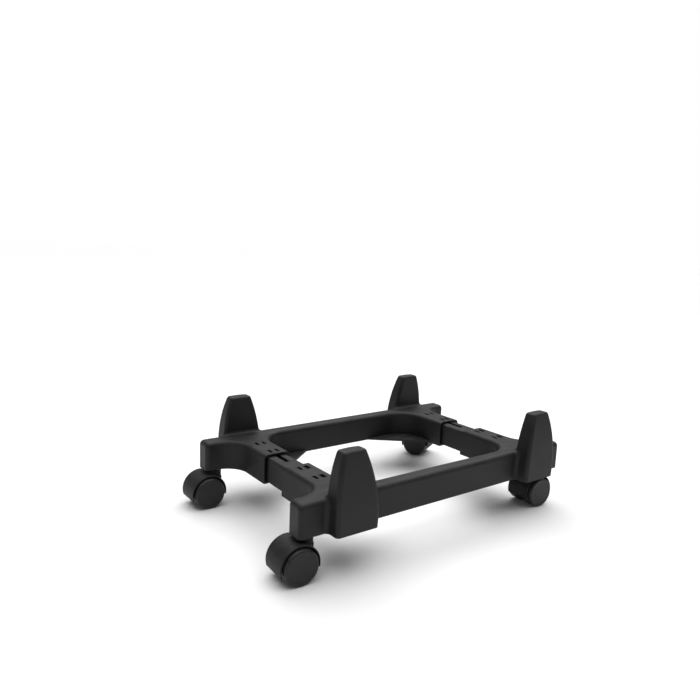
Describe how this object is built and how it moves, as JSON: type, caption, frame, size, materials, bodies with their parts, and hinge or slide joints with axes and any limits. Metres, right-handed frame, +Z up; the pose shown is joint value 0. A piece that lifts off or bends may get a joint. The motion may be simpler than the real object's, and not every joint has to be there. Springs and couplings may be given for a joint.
{
  "type": "cpu holder",
  "caption": "Rolling computer tower stand: two black moulded frame halves that telescope to the tower's width, tapered corner posts and hooded swivel casters with twin wheels.",
  "frame": {"origin": "on the floor, below the middle of the frame as drawn", "axes": "+X the way the slide half pulls out, +Y along the rails towards the back, +Z up"},
  "size_m": [0.2646, 0.3916, 0.1199],
  "materials": {
    "frame_plastic": "fine spark-eroded grain, moulded",
    "caster_plastic": "satin moulded",
    "wheel_plastic": "satin moulded, light polish on the rim",
    "plated_steel": "black zinc plated",
    "spring_steel": "blued and oiled spring steel"
  },
  "bodies": {
    "socket_body": {"socket_frame_half": "frame_plastic", "grip_ring_front_left": "spring_steel", "grip_ring_back_left": "spring_steel"},
    "slide_body": {"slide_frame_half": "frame_plastic", "grip_ring_front_right": "spring_steel", "grip_ring_back_right": "spring_steel"},
    "swivel_front_left": {"caster_hood_front_left": "caster_plastic", "caster_stem_front_left": "plated_steel", "axle_front_left": "plated_steel"},
    "spin_right_front_left": {"right_wheel_front_left": "wheel_plastic"},
    "spin_left_front_left": {"left_wheel_front_left": "wheel_plastic"},
    "swivel_front_right": {"caster_hood_front_right": "caster_plastic", "caster_stem_front_right": "plated_steel", "axle_front_right": "plated_steel"},
    "spin_right_front_right": {"right_wheel_front_right": "wheel_plastic"},
    "spin_left_front_right": {"left_wheel_front_right": "wheel_plastic"},
    "swivel_back_left": {"caster_hood_back_left": "caster_plastic", "caster_stem_back_left": "plated_steel", "axle_back_left": "plated_steel"},
    "spin_right_back_left": {"right_wheel_back_left": "wheel_plastic"},
    "spin_left_back_left": {"left_wheel_back_left": "wheel_plastic"},
    "swivel_back_right": {"caster_hood_back_right": "caster_plastic", "caster_stem_back_right": "plated_steel", "axle_back_right": "plated_steel"},
    "spin_right_back_right": {"right_wheel_back_right": "wheel_plastic"},
    "spin_left_back_right": {"left_wheel_back_right": "wheel_plastic"}
  },
  "joints": [
    {"name": "width_slide", "type": "slide", "parent": "socket_body", "child": "slide_body", "axis": [1, 0, 0], "range_m": [-0.0375, 0.02]},
    {"name": "swivel_front_left", "type": "hinge", "parent": "socket_body", "child": "swivel_front_left", "pos_m": [-0.0989, -0.1688, 0.042], "axis": [0, 0, 1], "continuous": true},
    {"name": "roll_right_front_left", "type": "hinge", "parent": "swivel_front_left", "child": "spin_right_front_left", "pos_m": [-0.0989, -0.1843, 0.0175], "axis": [1, 0, 0], "continuous": true},
    {"name": "roll_left_front_left", "type": "hinge", "parent": "swivel_front_left", "child": "spin_left_front_left", "pos_m": [-0.0989, -0.1843, 0.0175], "axis": [1, 0, 0], "continuous": true},
    {"name": "swivel_front_right", "type": "hinge", "parent": "slide_body", "child": "swivel_front_right", "pos_m": [0.0989, -0.1688, 0.042], "axis": [0, 0, 1], "continuous": true},
    {"name": "roll_right_front_right", "type": "hinge", "parent": "swivel_front_right", "child": "spin_right_front_right", "pos_m": [0.09809, -0.18428, 0.0175], "axis": [0.9986, -0.0523, 0], "continuous": true},
    {"name": "roll_left_front_right", "type": "hinge", "parent": "swivel_front_right", "child": "spin_left_front_right", "pos_m": [0.09809, -0.18428, 0.0175], "axis": [0.9986, -0.0523, 0], "continuous": true},
    {"name": "swivel_back_left", "type": "hinge", "parent": "socket_body", "child": "swivel_back_left", "pos_m": [-0.0989, 0.1688, 0.042], "axis": [0, 0, 1], "continuous": true},
    {"name": "roll_right_back_left", "type": "hinge", "parent": "swivel_back_left", "child": "spin_right_back_left", "pos_m": [-0.11271, 0.16176, 0.0175], "axis": [0.454, -0.891, 0], "continuous": true},
    {"name": "roll_left_back_left", "type": "hinge", "parent": "swivel_back_left", "child": "spin_left_back_left", "pos_m": [-0.11271, 0.16176, 0.0175], "axis": [0.454, -0.891, 0], "continuous": true},
    {"name": "swivel_back_right", "type": "hinge", "parent": "slide_body", "child": "swivel_back_right", "pos_m": [0.0989, 0.1688, 0.042], "axis": [0, 0, 1], "continuous": true},
    {"name": "roll_right_back_right", "type": "hinge", "parent": "swivel_back_right", "child": "spin_right_back_right", "pos_m": [0.09755, 0.15336, 0.0175], "axis": [0.9962, -0.0872, 0], "continuous": true},
    {"name": "roll_left_back_right", "type": "hinge", "parent": "swivel_back_right", "child": "spin_left_back_right", "pos_m": [0.09755, 0.15336, 0.0175], "axis": [0.9962, -0.0872, 0], "continuous": true}
  ]
}
